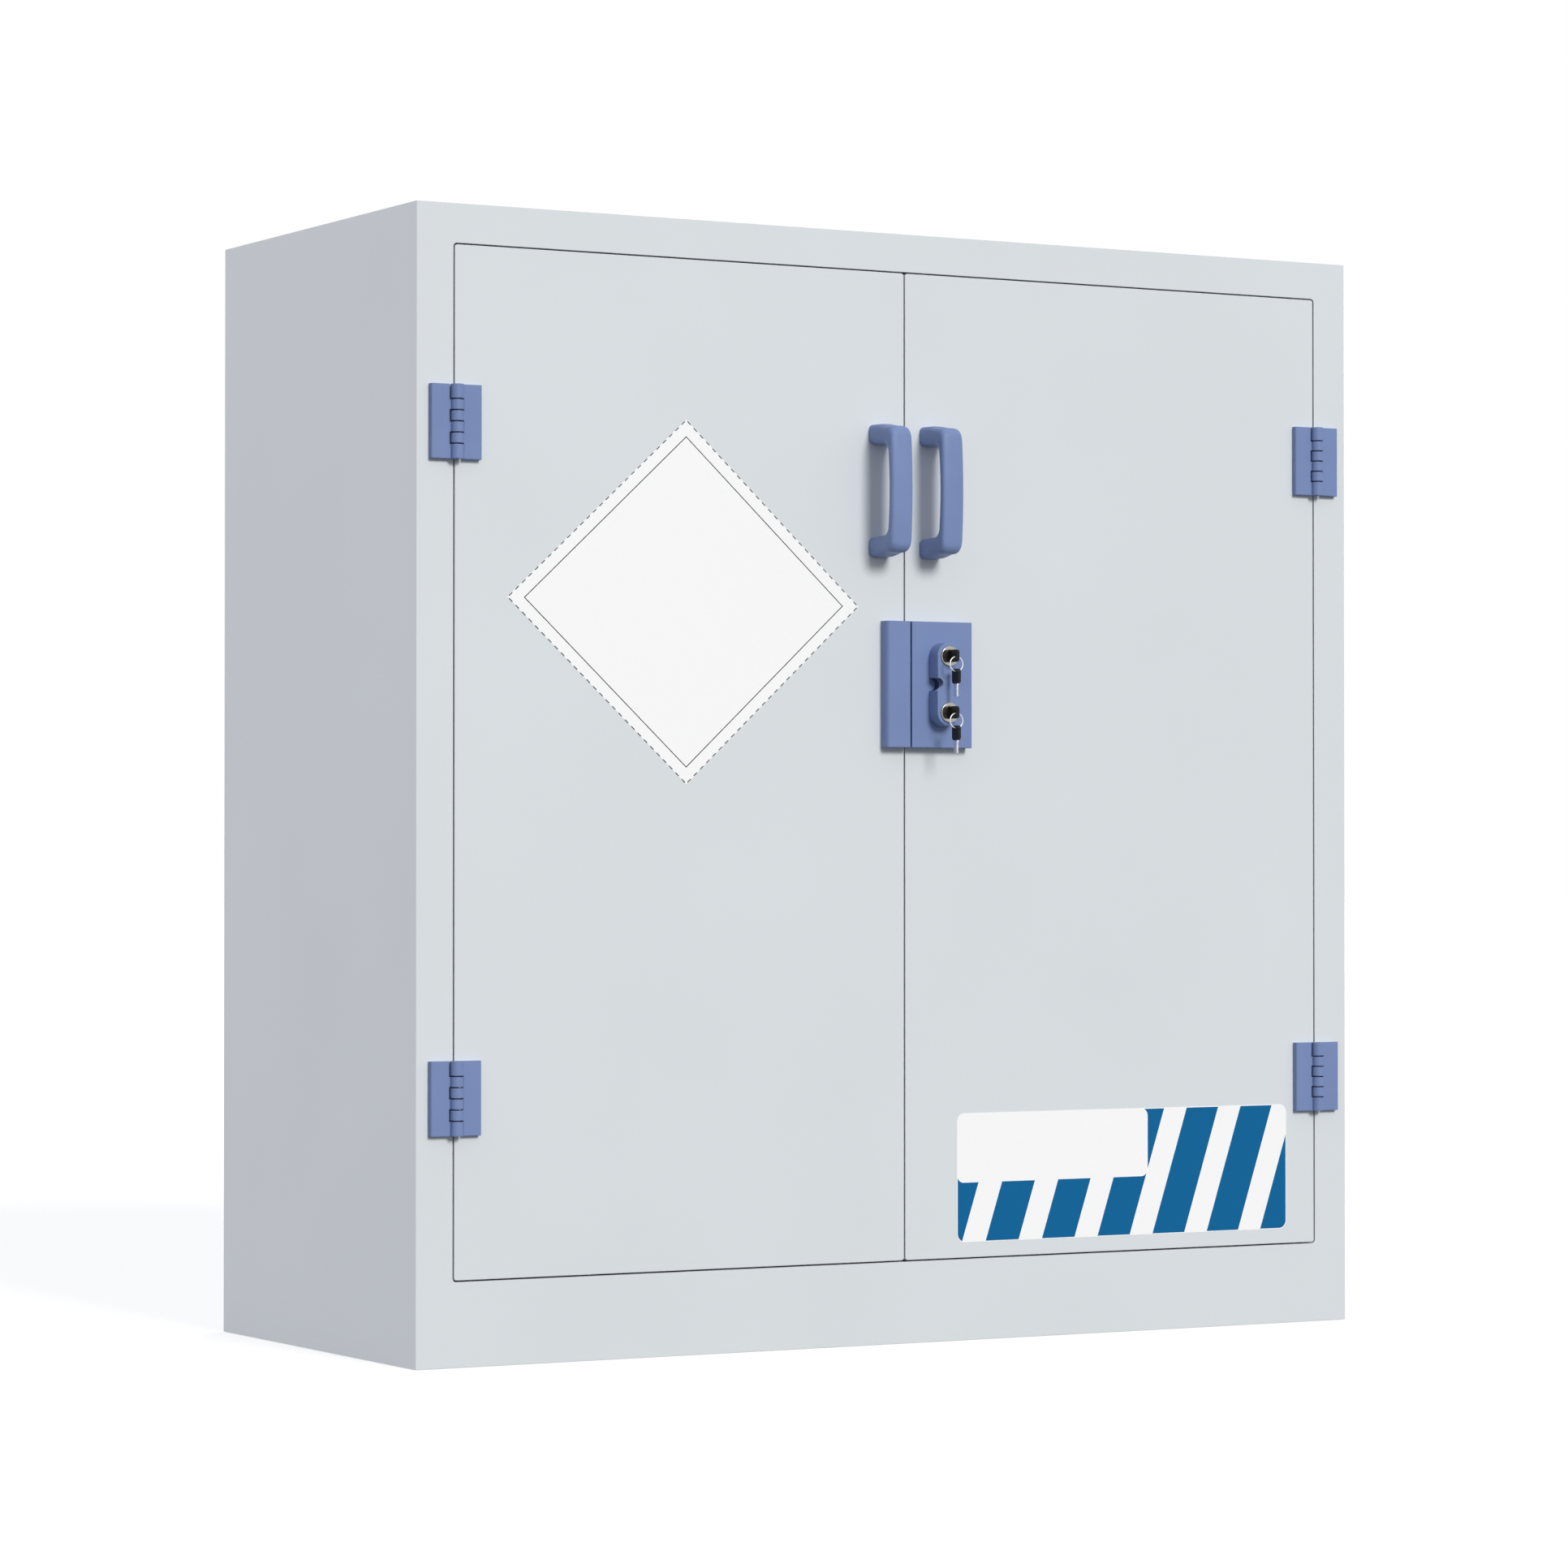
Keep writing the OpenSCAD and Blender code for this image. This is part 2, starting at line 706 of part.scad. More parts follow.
// A leaf that lies on one side of the pin. Right leaves own the first, third and
// fifth knuckles from the top and left leaves the others.
module hinge_leaf(leaf_side, hinge_side, zc) {
    first = leaf_side == RIGHT ? 0 : 1;
    color(blue_colour) translate([hinge_side * hinge_x, hinge_y, zc]) on_side(leaf_side) difference() {
        union() {
            translate([0, 0, -hinge_h / 2]) linear_extrude(hinge_h) leaf_plate_outline();
            for (i = [first:2:knuckles - 1]) {
                top = knuckle_top(i) - (i == 0 ? 0 : knuckle_gap / 2);
                bottom = knuckle_top(i + 1) + (i == knuckles - 1 ? 0 : knuckle_gap / 2);
                translate([0, 0, bottom]) linear_extrude(top - bottom) knuckle_outline();
            }
        }
        translate([0, 0, -hinge_h / 2 - past]) cylinder(r = pin_r + pin_clear, h = hinge_h + 2 * past);
        for (dz = [-leaf_screw_dz, leaf_screw_dz])
            translate([leaf_screw_x, axis_front + past, dz]) rotate([90, 0, 0])
                cylinder(r = screw_hole_r, h = leaf_thread + past + tip_clear);
    }
}

module left_upper_frame_leaf() { hinge_leaf(LEFT, LEFT, hinge_upper_z); }
module left_lower_frame_leaf() { hinge_leaf(LEFT, LEFT, hinge_lower_z); }
module right_upper_frame_leaf() { hinge_leaf(RIGHT, RIGHT, hinge_upper_z); }
module right_lower_frame_leaf() { hinge_leaf(RIGHT, RIGHT, hinge_lower_z); }
module left_upper_door_leaf() { hinge_leaf(RIGHT, LEFT, hinge_upper_z); }
module left_lower_door_leaf() { hinge_leaf(RIGHT, LEFT, hinge_lower_z); }
module right_upper_door_leaf() { hinge_leaf(LEFT, RIGHT, hinge_upper_z); }
module right_lower_door_leaf() { hinge_leaf(LEFT, RIGHT, hinge_lower_z); }

module hinge_pins() {
    pin_l = hinge_h - 2 * pin_recess;
    color(blue_colour) for (x = [-hinge_x, hinge_x], z = hinge_zs)
        translate([x, hinge_y, z - pin_l / 2]) cylinder(r = pin_r, h = pin_l);
}

module frame_hinge_screws() {
    color(steel_colour) for (side = [LEFT, RIGHT])
        screws_at(frame_leaf_screws(side), -frame_t, leaf_thread);
}

// ---- handles ----

// Steps along a foot, a corner and half the bar, and round a section
foot_steps = 7;
corner_steps = 7;
bar_steps = 6;
section_steps = 24;
// Power of the superellipse that a section follows
section_power = 3.8;
// Shares of a foot's length at which its shoulder starts and ends
shoulder_from = 0.4;
shoulder_to = 0.9;

function arc(centre, r, from, to, steps) =
    [for (i = [0:steps]) let (a = from + (to - from) * i / steps) centre + r * [cos(a), sin(a)]];
// 0 up to the shoulder's start, 1 from its end and a smooth S between them
function eased(t) =
    let (u = max(0, min(1, (t - shoulder_from) / (shoulder_to - shoulder_from)))) u * u * (3 - 2 * u);
function flipped(points) = [for (i = [len(points) - 1:-1:0]) [points[i][0], -points[i][1]]];

// Half of one face of the handle, as [distance in front, height above the middle]:
// up the foot, round the corner, and along the bowed bar to its middle.
function handle_face(foot_z, step, bar_end, r) =
    let (
        bow = handle_bow,
        corner_z = foot_z + foot_lean + step + r,
        sag_r = (bow * bow + corner_z * corner_z) / (2 * bow),
        tilt = asin(-corner_z / sag_r),
        bar_centre = bar_end + bow - sag_r
    )
    concat(
        [for (i = [0:foot_steps - 1]) let (t = i / foot_steps)
            [t * (bar_end - r), foot_z + foot_lean * t + step * eased(t)]],
        arc([bar_end - r, corner_z], r, -90, 0, corner_steps),
        [for (i = [1:bar_steps]) let (a = -tilt * (1 - i / bar_steps))
            [bar_centre + sag_r * cos(a), sag_r * sin(a)]]
    );
function whole_face(half) =
    let (other = flipped(half)) concat(half, [for (i = [1:len(half) - 1]) other[i]]);

outer_face = whole_face(handle_face(-handle_h / 2, shoulder, handle_reach, handle_r));
inner_face = whole_face(handle_face(-handle_h / 2 + foot_h, 0, handle_reach - bar_t, grip_r));

function rounded(c) = sign(c) * pow(abs(c), 2 / section_power);

// A loft of rounded sections, each across the bar from the inner face to the outer.
module handle_solid() {
    rings = [for (i = [0:len(outer_face) - 1], j = [0:section_steps - 1])
        let (
            a = 360 * (j + 0.5) / section_steps,
            middle = (outer_face[i] + inner_face[i]) / 2,
            half = (outer_face[i] - inner_face[i]) / 2,
            at = middle + half * rounded(sin(a))
        )
        [handle_w / 2 * rounded(cos(a)), -at[0], at[1]]];
    last = len(outer_face) - 1;
    sides = [for (i = [0:last - 1], j = [0:section_steps - 1])
        let (
            k = (j + 1) % section_steps,
            p = i * section_steps + j,
            q = i * section_steps + k,
            r = p + section_steps,
            s = q + section_steps
        )
        each [[p, q, r], [q, s, r]]];
    polyhedron(rings, concat(
        [[for (j = [section_steps - 1:-1:0]) j]],
        [[for (j = [0:section_steps - 1]) last * section_steps + j]],
        sides
    ));
}

module handle(side) {
    color(blue_colour) difference() {
        translate([side * handle_x, front_y, handle_z]) handle_solid();
        forward(-past, foot_thread + tip_clear) discs(handle_screws(side), screw_hole_r);
    }
}

module left_handle() { handle(LEFT); }
module right_handle() { handle(RIGHT); }

// ---- lock case and keeper ----

// A box open towards the door with one round front edge, drawn from above.
module lock_box(x0, x1, r) {
    difference() {
        translate([0, front_y, case_z0]) linear_extrude(case_h) {
            translate([x0, -case_t]) square([x1 - x0 - r, case_t]);
            translate([x0, -case_t + r]) square([x1 - x0, case_t - r]);
            translate([x1 - r, -case_t + r]) circle(r);
        }
        forward(-past, cavity_front)
            rectangle(x0 + case_wall, x1 - case_wall, case_z0 + case_wall, case_z1 - case_wall);
    }
}

module screw_bosses(places) {
    forward(0, cavity_front + past / 2) discs(places, boss_screw_r);
}

// Mouths for both bolts through a wall between two X positions.
module bolt_mouths(x0, x1) {
    forward(-past, guide_front) for (z = cyl_zs) rectangle(x0, x1, z - guide_dz, z + guide_dz);
}

module screw_pilots(places) {
    forward(-past, foot_thread + tip_clear) discs(places, screw_hole_r);
}

module keeper_box() {
    color(blue_colour) difference() {
        union() {
            mirror([1, 0, 0]) lock_box(case_edge, keeper_x1, keeper_r);
            screw_bosses(keeper_screws);
        }
        screw_pilots(keeper_screws);
        bolt_mouths(-case_edge - case_wall - past / 2, -case_edge + past);
    }
}

// Ribs inside the case above and below each bolt.
module bolt_guides() {
    forward(0, cavity_front + past / 2) for (z = cyl_zs, dz = [guide_dz, -guide_dz - guide_t])
        rectangle(case_edge + case_wall / 2, bolt_x0 + bolt_l, z + dz, z + dz + guide_t);
}

module cylinders_at(r, from, to) {
    forward(from, to) for (z = cyl_zs) translate([lock_x, z]) circle(r);
}

module lock_case() {
    color(blue_colour) difference() {
        union() {
            lock_box(case_edge, case_x1, case_r);
            screw_bosses(case_screws);
            bolt_guides();
        }
        screw_pilots(case_screws);
        bolt_mouths(case_edge - past, case_edge + case_wall + past / 2);
        cylinders_at(barrel_bore_r, cavity_front - past, case_t + past);
    }
}

module lock_boss() {
    r = boss_w / 2;
    color(blue_colour) forward(case_t, boss_front) difference() {
        union() {
            for (z = cyl_zs) translate([lock_x, z]) circle(r);
            rectangle(lock_x - r, lock_x + r, cyl_zs[1], cyl_zs[0]);
        }
        for (z = cyl_zs) translate([lock_x, z]) circle(barrel_bore_r);
        notch_x = lock_x - r + notch_depth - notch_r;
        translate([notch_x, lock_z]) circle(notch_r);
        rectangle(lock_x - r - past, notch_x, lock_z - notch_r, lock_z + notch_r);
    }
}

module lock_barrel(z) {
    color(steel_colour) difference() {
        union() {
            forward(barrel_back, boss_front + past / 2) translate([lock_x, z]) circle(barrel_lock_d / 2);
            forward(boss_front, bezel_front) translate([lock_x, z]) circle(bezel_d / 2);
        }
        forward(barrel_back - past, bezel_front + past)
            translate([lock_x, z]) circle(plug_d / 2 + plug_clear);
    }
}

module upper_lock_barrel() { lock_barrel(cyl_zs[0]); }
module lower_lock_barrel() { lock_barrel(cyl_zs[1]); }

module lock_nuts() {
    color(steel_colour) forward(cavity_front - nut_t, cavity_front)
        for (z = cyl_zs) translate([lock_x, z]) difference() {
            circle(nut_d / 2, $fn = 6);
            circle(barrel_bore_r);
        }
}

// ---- lock plug, crank and bolt ----

module lock_plug(z) {
    keyway_w = blade_t + 2 * keyway_clear;
    keyway_h = blade_w + 2 * keyway_clear;
    color(steel_colour) difference() {
        forward(crank_front, plug_front) translate([lock_x, z]) circle(plug_d / 2);
        forward(keyway_back, plug_front + past)
            rectangle(lock_x - keyway_w / 2, lock_x + keyway_w / 2, z - keyway_h / 2, z + keyway_h / 2);
        forward(crank_front - past, crank_front + crank_screw_l + tip_clear)
            translate([lock_x, z]) circle(crank_screw_r + screw_clear);
    }
}

module upper_lock_plug() { lock_plug(cyl_zs[0]); }
module lower_lock_plug() { lock_plug(cyl_zs[1]); }

// An arm on the plug's back end, whose pin runs in the bolt's slot.
module lock_crank(z) {
    color(steel_colour) translate([lock_x, 0, z]) difference() {
        union() {
            forward(crank_back, crank_front) {
                circle(crank_hub_r);
                rotate(crank_angle) translate([0, -crank_end_r]) square([crank_r, 2 * crank_end_r]);
                translate([crank_dx, crank_dz]) circle(crank_end_r);
            }
            forward(bolt_back + crank_clear, crank_back + past)
                translate([crank_dx, crank_dz]) circle(crank_pin_r);
        }
        translate([0, front_y - crank_back + past / 10, 0]) rotate([90, 0, 0])
            cylinder(r1 = 2 * crank_screw_r + screw_clear, r2 = crank_screw_r + screw_clear,
                h = crank_t + past / 5);
    }
}

module upper_lock_crank() { lock_crank(cyl_zs[0]); }
module lower_lock_crank() { lock_crank(cyl_zs[1]); }

// A countersunk screw that holds the crank on its plug.
module crank_screw(z) {
    color(black_colour) translate([lock_x, front_y - crank_back - screw_clear, z]) rotate([90, 0, 0]) {
        cylinder(r1 = 2 * crank_screw_r - screw_clear, r2 = crank_screw_r, h = crank_t - screw_clear);
        cylinder(r = crank_screw_r, h = crank_screw_l + crank_t - screw_clear);
    }
}

module upper_crank_screw() { crank_screw(cyl_zs[0]); }
module lower_crank_screw() { crank_screw(cyl_zs[1]); }

// A flat bar with a slot for the crank's pin, drawn back into the case.
module lock_bolt(z) {
    slot_half = crank_pin_r + crank_clear;
    color(steel_colour) forward(bolt_back, bolt_front) difference() {
        rectangle(bolt_x0, bolt_x0 + bolt_l, z - bolt_h / 2, z + bolt_h / 2);
        translate([lock_x + crank_dx, z])
            rectangle(-slot_half, slot_half, crank_dz - slot_half, crank_r + slot_half);
    }
}

module upper_bolt() { lock_bolt(cyl_zs[0]); }
module lower_bolt() { lock_bolt(cyl_zs[1]); }

// ---- keys ----

// Places a key's own frame with the key in its lock.
module key_in_lock(z) {
    translate([lock_x, front_y - key_hole_front, z]) rotate([90, 0, 90]) children();
}

// Places a key's own frame with the key hanging from its ring.
module key_on_ring(z) {
    translate([lock_x, front_y - key_hole_front, z + spare_dz]) rotate([0, 90, 0]) children();
}

module key_bow() {
    color(black_colour) difference() {
        linear_extrude(bow_t, center = true) difference() {
            round_rectangle(bow_x0, bow_x1, -bow_w / 2, bow_w / 2, bow_r);
            circle(bow_hole_d / 2);
        }
        linear_extrude(blade_t, center = true)
            translate([bow_x1 - tang_l, -blade_w / 2]) square([tang_l + past, blade_w]);
    }
}

// A blade with a chamfered tip and cuts along one edge.
module key_blade() {
    tip = blade_w / 4;
    cuts = 4;
    pitch = (blade_l - 2 * tip) / cuts;
    color(steel_colour) linear_extrude(blade_t, center = true) difference() {
        polygon([
            [bow_x1 - tang_l, -blade_w / 2], [blade_x1 - tip, -blade_w / 2], [blade_x1, -tip],
            [blade_x1, tip], [blade_x1 - tip, blade_w / 2], [bow_x1 - tang_l, blade_w / 2],
        ]);
        for (i = [0:cuts - 1])
            translate([bow_x1 + tip + (i + 0.5) * pitch, -blade_w / 2]) circle(r = cut_depth, $fn = 4);
    }
}

module upper_key_blade() { key_in_lock(cyl_zs[0]) key_blade(); }
module upper_key_bow() { key_in_lock(cyl_zs[0]) key_bow(); }
module upper_spare_blade() { key_on_ring(cyl_zs[0]) key_blade(); }
module upper_spare_bow() { key_on_ring(cyl_zs[0]) key_bow(); }
module lower_key_blade() { key_in_lock(cyl_zs[1]) key_blade(); }
module lower_key_bow() { key_in_lock(cyl_zs[1]) key_bow(); }
module lower_spare_blade() { key_on_ring(cyl_zs[1]) key_blade(); }
module lower_spare_bow() { key_on_ring(cyl_zs[1]) key_bow(); }

module key_ring(z) {
    color(steel_colour) translate([lock_x, front_y - key_hole_front, z + ring_dz]) rotate([90, 0, 0])
        rotate_extrude() translate([ring_r, 0]) circle(wire_r);
}

module upper_key_ring() { key_ring(cyl_zs[0]); }
module lower_key_ring() { key_ring(cyl_zs[1]); }

left_side_panel();
right_side_panel();
top_panel();
floor_panel();
back_panel();
front_frame();
floor_bearers();
weld_beads();
door_stop_frame();
shelf_standards();
shelf_clips();
left_upper_frame_leaf();
left_lower_frame_leaf();
right_upper_frame_leaf();
right_lower_frame_leaf();
hinge_pins();
frame_hinge_screws();
door_catches();
shelf();
spill_tray();
left_door_panel();
left_door_frame();
left_upper_door_leaf();
left_lower_door_leaf();
left_handle();
keeper_box();
left_door_screws();
left_strike_plate();
right_door_panel();
right_door_frame();
right_upper_door_leaf();
right_lower_door_leaf();
right_handle();
lock_case();
lock_boss();
upper_lock_barrel();
lower_lock_barrel();
lock_nuts();
right_door_screws();
right_strike_plate();
upper_lock_plug();
upper_lock_crank();
upper_crank_screw();
upper_bolt();
upper_key_blade();
upper_key_bow();
upper_key_ring();
upper_spare_blade();
upper_spare_bow();
lower_lock_plug();
lower_lock_crank();
lower_crank_screw();
lower_bolt();
lower_key_blade();
lower_key_bow();
lower_key_ring();
lower_spare_blade();
lower_spare_bow();
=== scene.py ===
"""Looks of a two-door polypropylene cabinet for corrosive liquids.

Everything is in metres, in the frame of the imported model: the origin is on the floor below
the middle of the cabinet, +X is to the right, +Y to the back and +Z up, and the doors face -Y.
"""

import json
import math

import bmesh
import bpy
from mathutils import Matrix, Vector


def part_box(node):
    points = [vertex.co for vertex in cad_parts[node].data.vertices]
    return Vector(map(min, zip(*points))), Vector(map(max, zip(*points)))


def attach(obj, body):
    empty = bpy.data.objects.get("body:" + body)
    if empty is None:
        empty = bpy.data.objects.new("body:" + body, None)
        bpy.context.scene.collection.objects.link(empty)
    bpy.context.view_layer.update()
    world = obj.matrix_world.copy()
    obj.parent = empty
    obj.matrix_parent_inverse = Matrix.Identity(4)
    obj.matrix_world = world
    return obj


MM = 0.001

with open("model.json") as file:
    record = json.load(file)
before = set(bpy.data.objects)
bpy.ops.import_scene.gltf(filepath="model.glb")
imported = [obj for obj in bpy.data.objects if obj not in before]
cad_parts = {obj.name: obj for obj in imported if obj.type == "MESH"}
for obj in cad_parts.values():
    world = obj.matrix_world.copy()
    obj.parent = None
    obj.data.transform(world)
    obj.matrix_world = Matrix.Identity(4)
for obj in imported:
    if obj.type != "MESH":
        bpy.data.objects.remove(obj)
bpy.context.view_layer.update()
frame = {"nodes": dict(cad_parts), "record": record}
nodes = frame["nodes"]


# ---- colours, as the photograph shows them, sRGB 0 to 255 ----

SHEET_GREY = (216, 221, 224)
INSIDE_GREY = (212, 217, 220)
FITTING_BLUE = (117, 136, 180)
LABEL_WHITE = (250, 250, 250)
LABEL_BLUE = (5, 98, 150)
LABEL_BLACK = (12, 12, 13)
STEEL_GREY = (190, 190, 192)
NICKEL_GREY = (212, 213, 217)
CHROME_GREY = (176, 174, 165)
LOCK_FACE_GREY = (70, 68, 65)
BLACK = (16, 16, 18)


def linear(channel):
    """One channel of an sRGB colour, 0 to 255, as linear light."""
    c = channel / 255
    return c / 12.92 if c <= 0.04045 else ((c + 0.055) / 1.055) ** 2.4


def tinted(colour, factor):
    """An sRGB colour as linear RGBA, made lighter or darker."""
    return tuple(min(1.0, linear(c) * factor) for c in colour) + (1.0,)


# ---- materials ----

# Where a colour ramp starts and ends in noise that runs from 0 to 1.
RAMP_START, RAMP_END = 0.3, 0.7
SOFT_EDGE_SAMPLES = 6

# What each kind of material shares, and how far it strays: in tint by a factor on its colour,
# and in gloss by a step of roughness.
PLASTIC_IOR = 1.49
PLASTIC_SPECULAR = 0.25
PLASTIC_GLOSS_SPREAD = 0.04
PLASTIC_GLOSS_FINENESS = 3

METAL_DARKEST, METAL_LIGHTEST = 0.94, 1.05
METAL_SMOOTHER, METAL_ROUGHER = 0.05, 0.08
METAL_BUMP_STRENGTH = 0.6

FILM_DARKEST = 0.985
FILM_GRAIN = 1.5 * MM
FILM_GLOSS_PATCH = 40 * MM
FILM_ROUGHNESS = (0.34, 0.42)
FILM_SPECULAR = 0.12


def new_material(name):
    """A material with its node tree, its shader and object coordinates."""
    material = bpy.data.materials.new(name)
    material.use_nodes = True
    tree = material.node_tree
    shader = tree.nodes["Principled BSDF"]
    coords = tree.nodes.new("ShaderNodeTexCoord")
    return material, tree, shader, coords.outputs["Object"]


def noise(tree, coords, size, detail=3.0, stretch=(1, 1, 1)):
    """Noise with features of about that size in metres, longer along an axis that is stretched."""
    mapping = tree.nodes.new("ShaderNodeMapping")
    mapping.inputs["Scale"].default_value = [1 / s for s in stretch]
    tree.links.new(coords, mapping.inputs["Vector"])
    texture = tree.nodes.new("ShaderNodeTexNoise")
    texture.inputs["Scale"].default_value = 1 / size
    texture.inputs["Detail"].default_value = detail
    tree.links.new(mapping.outputs["Vector"], texture.inputs["Vector"])
    return texture.outputs["Fac"]


def vary_colour(tree, shader, factor, low, high):
    """The base colour runs between two colours."""
    ramp = tree.nodes.new("ShaderNodeValToRGB")
    start, end = ramp.color_ramp.elements
    start.position, start.color = RAMP_START, low
    end.position, end.color = RAMP_END, high
    tree.links.new(factor, ramp.inputs["Fac"])
    tree.links.new(ramp.outputs["Color"], shader.inputs["Base Color"])


def vary_roughness(tree, shader, factor, low, high):
    """The roughness runs between two values."""
    spread = tree.nodes.new("ShaderNodeMapRange")
    spread.inputs["To Min"].default_value = low
    spread.inputs["To Max"].default_value = high
    tree.links.new(factor, spread.inputs["Value"])
    tree.links.new(spread.outputs["Result"], shader.inputs["Roughness"])


def add_bump(tree, shader, height, depth, soft_edge, strength=1.0):
    """Bump of that depth in metres, over edges that shade as rounded to that radius."""
    edge = tree.nodes.new("ShaderNodeBevel")
    edge.samples = SOFT_EDGE_SAMPLES
    edge.inputs["Radius"].default_value = soft_edge
    bump = tree.nodes.new("ShaderNodeBump")
    bump.inputs["Strength"].default_value = strength
    bump.inputs["Distance"].default_value = depth
    tree.links.new(height, bump.inputs["Height"])
    tree.links.new(edge.outputs["Normal"], bump.inputs["Normal"])
    tree.links.new(bump.outputs["Normal"], shader.inputs["Normal"])


def plastic(name, colour, roughness, grain, depth, soft_edge, mottle, patch=250 * MM):
    """Moulded or extruded plastic: faint cloudy tint, fine grain and uneven gloss.

    The tint strays by the share mottle over patches of that size, and the gloss over finer
    ones. The grain has that size and depth.
    """
    material, tree, shader, coords = new_material(name)
    cloud = noise(tree, coords, patch, detail=2.0)
    vary_colour(tree, shader, cloud, tinted(colour, 1 - mottle), tinted(colour, 1 + mottle))
    gloss = noise(tree, coords, patch / PLASTIC_GLOSS_FINENESS)
    vary_roughness(tree, shader, gloss,
                   roughness - PLASTIC_GLOSS_SPREAD, roughness + PLASTIC_GLOSS_SPREAD)
    add_bump(tree, shader, noise(tree, coords, grain, detail=4.0), depth, soft_edge)
    shader.inputs["IOR"].default_value = PLASTIC_IOR
    shader.inputs["Specular IOR Level"].default_value = PLASTIC_SPECULAR
    return material


def metal(name, colour, roughness, grain, depth, soft_edge, stretch=(1, 1, 1)):
    """Plated or brushed metal with fine wear in its tint and gloss, of that size and depth."""
    material, tree, shader, coords = new_material(name)
    wear = noise(tree, coords, grain, detail=5.0, stretch=stretch)
    vary_colour(tree, shader, wear, tinted(colour, METAL_DARKEST), tinted(colour, METAL_LIGHTEST))
    vary_roughness(tree, shader, wear, roughness - METAL_SMOOTHER, roughness + METAL_ROUGHER)
    add_bump(tree, shader, wear, depth, soft_edge, strength=METAL_BUMP_STRENGTH)
    shader.inputs["Metallic"].default_value = 1.0
    return material


def film(name, colour):
    """Printed self-adhesive film: an even colour under a soft gloss."""
    material, tree, shader, coords = new_material(name)
    print_grain = noise(tree, coords, FILM_GRAIN)
    vary_colour(tree, shader, print_grain, tinted(colour, FILM_DARKEST), tinted(colour, 1.0))
    vary_roughness(tree, shader, noise(tree, coords, FILM_GLOSS_PATCH), *FILM_ROUGHNESS)
    shader.inputs["Specular IOR Level"].default_value = FILM_SPECULAR
    return material


MATERIALS = {
    "pp_grey": plastic("pp_sheet", SHEET_GREY, roughness=0.46, grain=1.2 * MM,
                       depth=0.004 * MM, soft_edge=1.2 * MM, mottle=0.012),
    "pp_grey_welded": plastic("pp_sheet_welded", SHEET_GREY, roughness=0.46, grain=1.2 * MM,
                              depth=0.004 * MM, soft_edge=0.3 * MM, mottle=0.012),
    "pp_grey_inside": plastic("pp_sheet_inside", INSIDE_GREY, roughness=0.5, grain=1.2 * MM,
                              depth=0.004 * MM, soft_edge=1.2 * MM, mottle=0.015),
    "pp_blue": plastic("pp_moulded_blue", FITTING_BLUE, roughness=0.48, grain=0.6 * MM,
                       depth=0.012 * MM, soft_edge=1.3 * MM, mottle=0.03, patch=50 * MM),
    "steel": metal("zinc_plate", STEEL_GREY, roughness=0.32, grain=2 * MM,
                   depth=0.004 * MM, soft_edge=0.3 * MM),
    "chrome": metal("chrome_plate", CHROME_GREY, roughness=0.14, grain=3 * MM,
                    depth=0.001 * MM, soft_edge=0.5 * MM),
    "lock_face": metal("lock_face", LOCK_FACE_GREY, roughness=0.3, grain=2 * MM,
                       depth=0.002 * MM, soft_edge=0.3 * MM),
    "key_metal": metal("nickel_plate", NICKEL_GREY, roughness=0.42, grain=1.5 * MM,
                       depth=0.004 * MM, soft_edge=0.25 * MM, stretch=(1, 1, 6)),
    "key_plastic": plastic("key_plastic", BLACK, roughness=0.3, grain=0.5 * MM,
                           depth=0.01 * MM, soft_edge=0.8 * MM, mottle=0.1, patch=10 * MM),
    "label_white": film("film_white", LABEL_WHITE),
    "label_blue": film("film_blue", LABEL_BLUE),
    "label_black": film("film_black", LABEL_BLACK),
}


# ---- the form's edges ----

# Width of the rounding along the edges of each finish.
EDGE_ROUNDING = {
    "pp_grey": 0.9 * MM,
    "pp_grey_inside": 0.8 * MM,
    "pp_blue": 1.0 * MM,
    "steel": 0.25 * MM,
    "chrome": 0.5 * MM,
    "lock_face": 0.15 * MM,
    "key_metal": 0.15 * MM,
    "key_plastic": 0.5 * MM,
}
ROUNDING_SEGMENTS = 3
# Edges over the sharp angle are rounded, and smooth forms shade as sharp over the split angle.
SHARP_ANGLE = math.radians(35)
SPLIT_ANGLE = math.radians(50)
# Faces that meet under this angle count as one flat.
FLAT_ANGLE = math.radians(0.4)
# How much the larger faces lead the shading, where 50 is even.
FLATS_LEAD = 80
WELD_DISTANCE = 0.005 * MM

# Handles and key rings, which are round all over.
SMOOTH_NODES = ("left_handle", "right_handle", "upper_key_ring", "lower_key_ring")
# Sheets of the shell, welded edge to edge and scraped flush.
WELDED_NODES = ("left_side_panel", "right_side_panel", "top_panel", "back_panel", "front_frame")
# Sheets with several holes in one flat, whose sawn edges are softened in the shading.
PIERCED_NODES = ("left_door_panel", "right_door_panel", "left_door_frame", "right_door_frame",
                 "shelf_standards")


def shade_smooth(obj):
    """Smooth shading from the mesh itself, without the normals it was imported with."""
    mesh = obj.data
    if "custom_normal" in mesh.attributes:
        mesh.attributes.remove(mesh.attributes["custom_normal"])
    mesh.polygons.foreach_set("use_smooth", [True] * len(mesh.polygons))


def weld(obj):
    """Joins the faces of an imported node along their edges."""
    modifier = obj.modifiers.new("weld", "WELD")
    modifier.merge_threshold = WELD_DISTANCE


def micrometres(point):
    """A point's coordinates as whole micrometres."""
    return tuple(round(c * 1e6) for c in point)


def ends(edge):
    """The two ends of an edge, whichever way round it runs."""
    return frozenset(micrometres(v.co) for v in edge.verts)


def on_inner_curve(vertex):
    """Whether a vertex lies on the wall of a hole or another hollow curve."""
    between_two = [edge for edge in vertex.link_edges if len(edge.link_faces) == 2]
    return any(-SHARP_ANGLE < edge.calc_face_angle_signed(0) < -FLAT_ANGLE
               for edge in between_two)


